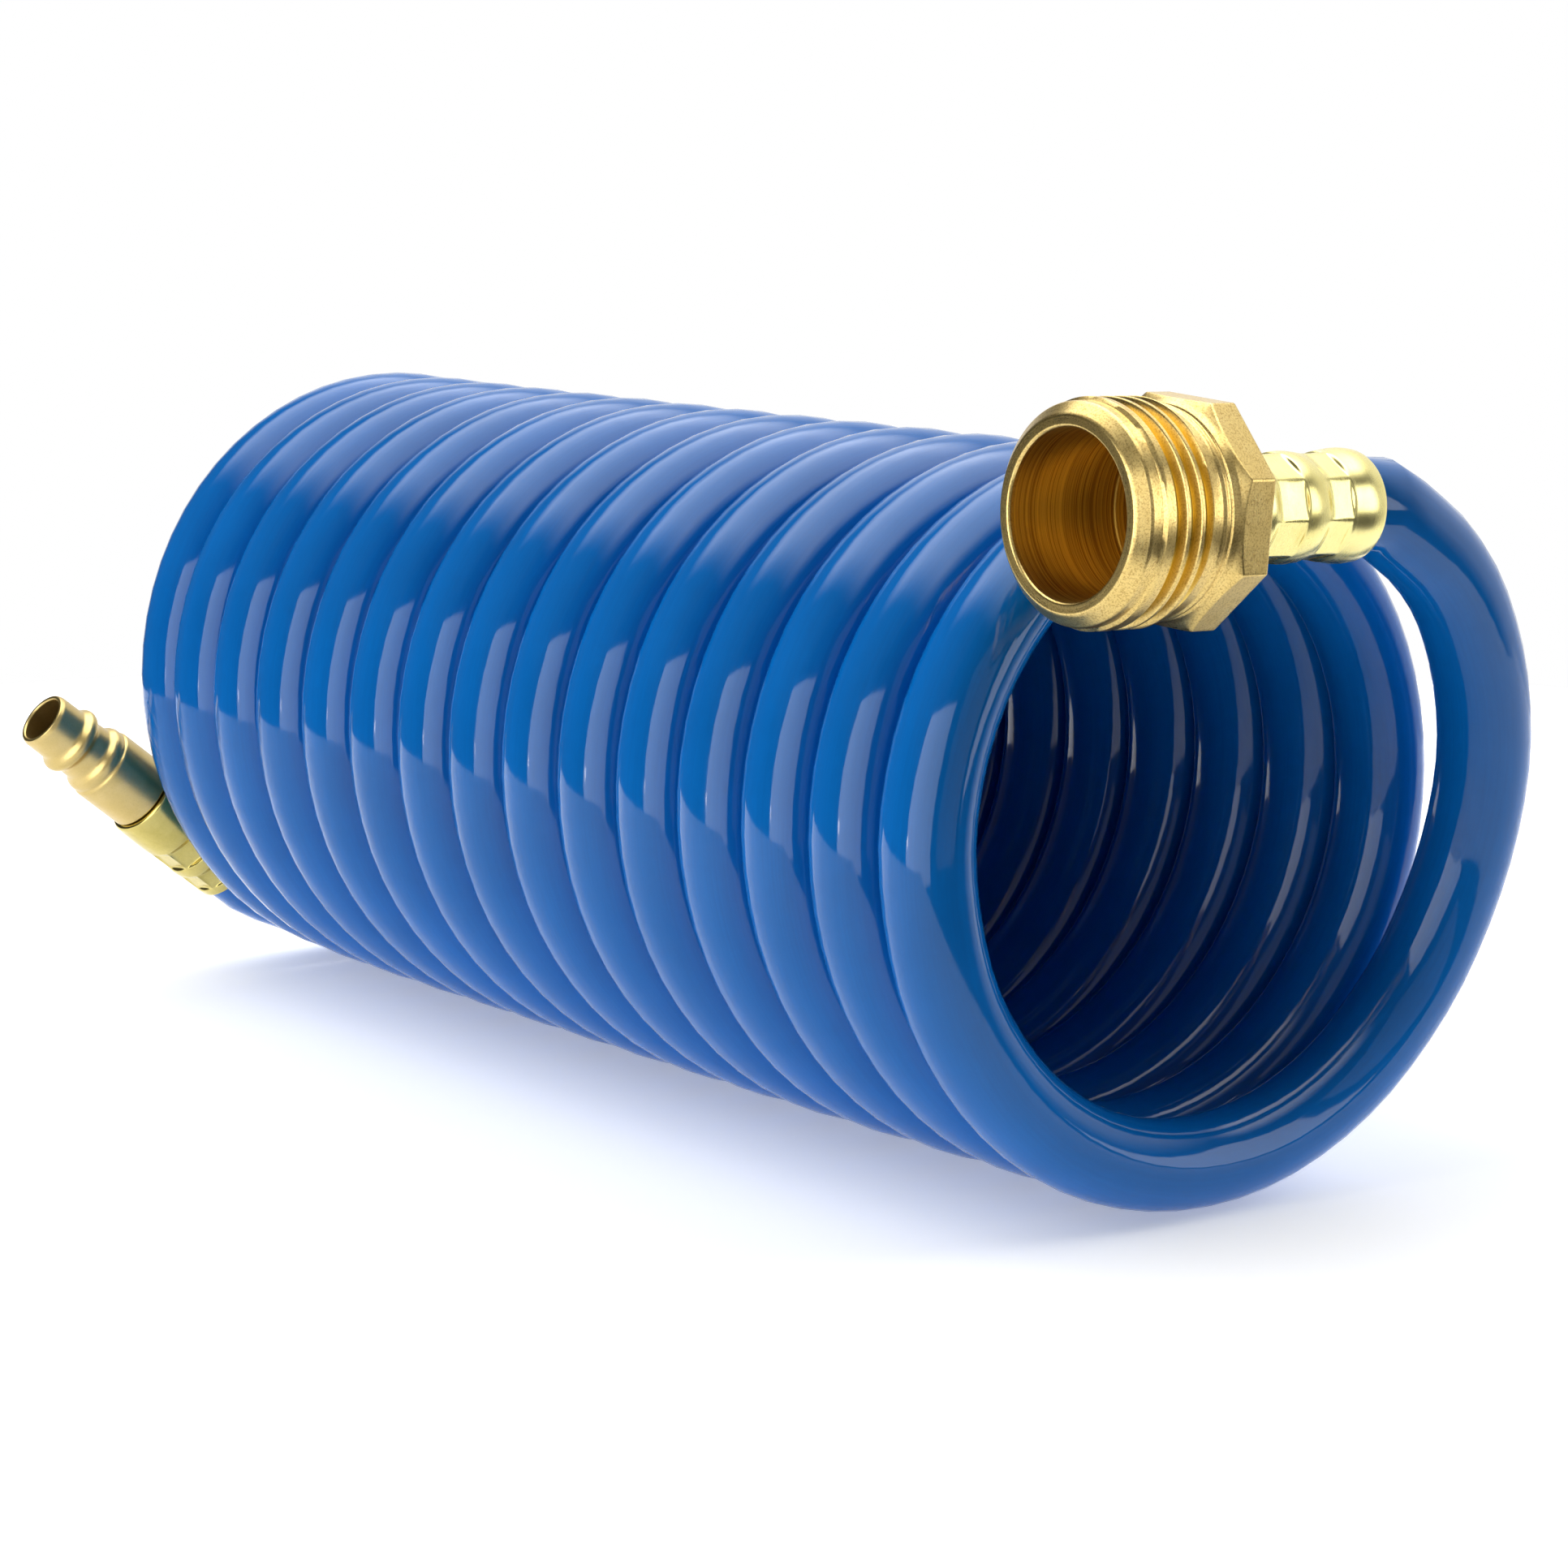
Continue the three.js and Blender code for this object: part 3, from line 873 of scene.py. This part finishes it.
threaded = make_thread_fitting()
near_sleeve = make_ferrule(
    "near_sleeve", "near_ferrule", NEAR_MOUTH, NEAR_TILT, "threaded_end", NEAR_LENGTH, start_at=0.6,
    bands=[(5.7, 10.3), (13.2, 18.8)], humps=[(2.6, 2.6, 0.45), (12.0, 1.6, 0.22), (18.3, 2.0, 0.05)],
    phase=math.radians(35.6), apothem=6.2, front_radius=6.3,
    tones=((0.9, 0.81, 0.36, 1), (0.85, 0.74, 0.28, 1)), polish=0.21,
)
far_sleeve = make_ferrule(
    "far_sleeve", "far_ferrule", FAR_MOUTH, FAR_TILT, "coil", FAR_LENGTH, start_at=0.6,
    bands=[(1.9, 6.2), (7.9, 12.8)], humps=[(7.0, 0.9, 0.15), (15.2, 3.0, 0.12)],
    phase=math.radians(30), apothem=6.0, front_radius=6.35,
    # Same brass as the near sleeve; these darker tones are painted shade for the far end lying in shadow.
    tones=((0.66, 0.56, 0.2, 1), (0.54, 0.44, 0.12, 1)), polish=0.15,
)
plug = make_plug()


# ---------------------------------------------------------------- light and floor

# In metres. The floor ends just past the closed coil, which keeps the coil's inside dark.
TABLE_RADIUS = 0.42
TABLE_EDGE_X = 0.205
TABLE_SIDES = 96
# Which way the studio is white, and how bright the rest of it is
BACKDROP = (-0.34, 0.94, 0.0)
BACKDROP_FROM, BACKDROP_FULL = 0.48, 0.7
DARK_STUDIO = 0.06


def make_stage():
    """A pale paper floor that glows a little, so that the shadows on it stay faint."""
    floor = bpy.data.meshes.new("floor")
    rim = [
        (min(TABLE_EDGE_X, TABLE_RADIUS * math.sin(a)), TABLE_RADIUS * math.cos(a), 0.0)
        for a in even_angles(TABLE_SIDES)
    ]
    floor.from_pydata(rim, [], [tuple(reversed(range(TABLE_SIDES)))])
    thing = bpy.data.objects.new("floor", floor)
    bpy.context.scene.collection.objects.link(thing)
    s = Shader("floor_paper")
    s.set(Base_Color=(0.92, 0.92, 0.92, 1), Roughness=0.9, Emission_Color=(1, 1, 1, 1), Emission_Strength=0.34)
    floor.materials.append(s.material)


def around(azimuth, distance, height):
    """A place as seen from the coil: azimuth 0 is towards -Y and 90 towards +X."""
    angle = math.radians(azimuth)
    return Vector((distance * math.sin(angle), -distance * math.cos(angle), height))


def area_light(name, place, target, size, radiance, sides=(1.0, 1.0), soft=0.0, spread=180):
    """A flat box of even light, that may be brighter on one side and may fade at its edges."""
    width, height = size
    data = bpy.data.lights.new(name, "AREA")
    data.shape = "RECTANGLE"
    data.size, data.size_y = width, height
    data.spread = math.radians(spread)
    data.energy = radiance * math.pi * width * height
    data.use_nodes = True
    nodes = Nodes(data.node_tree)
    across = nodes.node("ShaderNodeNewGeometry").outputs["Parametric"]
    split = nodes.node("ShaderNodeSeparateXYZ", Vector=across)
    strength = nodes.ramp(split.outputs["X"], 0.0, 1.0, *sides)
    if soft > 0:
        for axis in ("X", "Y"):
            for edge, inner in ((0.0, soft), (1.0, 1.0 - soft)):
                fade = nodes.ramp(split.outputs[axis], edge, inner, smooth=True)
                strength = nodes.math("MULTIPLY", strength, fade)
    nodes.put(data.node_tree.nodes["Emission"].inputs["Strength"], strength)
    light = bpy.data.objects.new(name, data)
    light.location = place
    light.rotation_mode = "QUATERNION"
    light.rotation_quaternion = (Vector(target) - Vector(place)).to_track_quat("-Z", "Y")
    bpy.context.scene.collection.objects.link(light)
    return light


def make_world():
    """White to the camera; to everything else a dark studio with a white backdrop behind the object."""
    world = bpy.data.worlds.new("studio")
    world.use_nodes = True
    nodes = Nodes(world.node_tree)
    background = world.node_tree.nodes["Background"]
    facing = nodes.node("ShaderNodeVectorMath", operation="DOT_PRODUCT")
    nodes.put(facing.inputs[0], nodes.node("ShaderNodeTexCoord").outputs["Generated"])
    nodes.put(facing.inputs[1], BACKDROP)
    share = nodes.ramp(facing.outputs["Value"], BACKDROP_FROM, BACKDROP_FULL, DARK_STUDIO, 1.0)
    camera_ray = nodes.node("ShaderNodeLightPath").outputs["Is Camera Ray"]
    nodes.put(background.inputs["Strength"], nodes.math("MAXIMUM", share, camera_ray))
    background.inputs["Color"].default_value = (1, 1, 1, 1)
    bpy.context.scene.world = world


def make_lights():
    """Sheen lights only show as reflections, and fills only light the surfaces."""
    make_world()
    middle = Vector((0, -0.05, 0.05))
    area_light("lamp", around(-5, 0.9, 0.045), middle, size=(0.025, 0.05), radiance=16.0)
    sheen = [
        area_light("overhead", (-0.25, 0.2, 1.05), (-0.25, 0.2, 0), size=(2.1, 1.6), radiance=3.4, soft=0.24),
        area_light(
            "front", around(18, 0.95, 0.305), around(18, 0, 0.305) + middle,
            size=(0.9, 0.85), radiance=3.0, sides=(1.4, 0.8),
        ),
        area_light("right", around(122, 0.9, 0.3), (0, 0, 0.3), size=(0.36, 0.6), radiance=3.0),
        area_light(
            "camera_side", around(80, 1.0, 0.4), (0, 0, 0.4),
            size=(0.85, 0.9), radiance=0.5, sides=(0.7, 1.2),
        ),
    ]
    for light in sheen:
        light.visible_diffuse = False
    fills = [
        area_light("fill", around(-32, 0.9, 1.1), middle, size=(1.5, 1.5), radiance=2.6),
        area_light("fill_right", around(170, 0.9, 0.7), (0, 0, 0.05), size=(1.2, 1.0), radiance=2.2),
        area_light("fill_top", (-0.6, 0, 1.3), (0, 0, 0), size=(1.4, 1.4), radiance=0.9),
    ]
    for light in fills:
        light.visible_glossy = False
    # Falls only where the threaded end gets to when the coil is pulled open.
    area_light(
        "pulled_out", (0.95, -0.5, 0.85), (0.95, 0, 0.05), size=(0.7, 0.5), radiance=1.8, spread=50
    )


make_stage()
make_lights()
bpy.context.scene.view_settings.view_transform = "Standard"
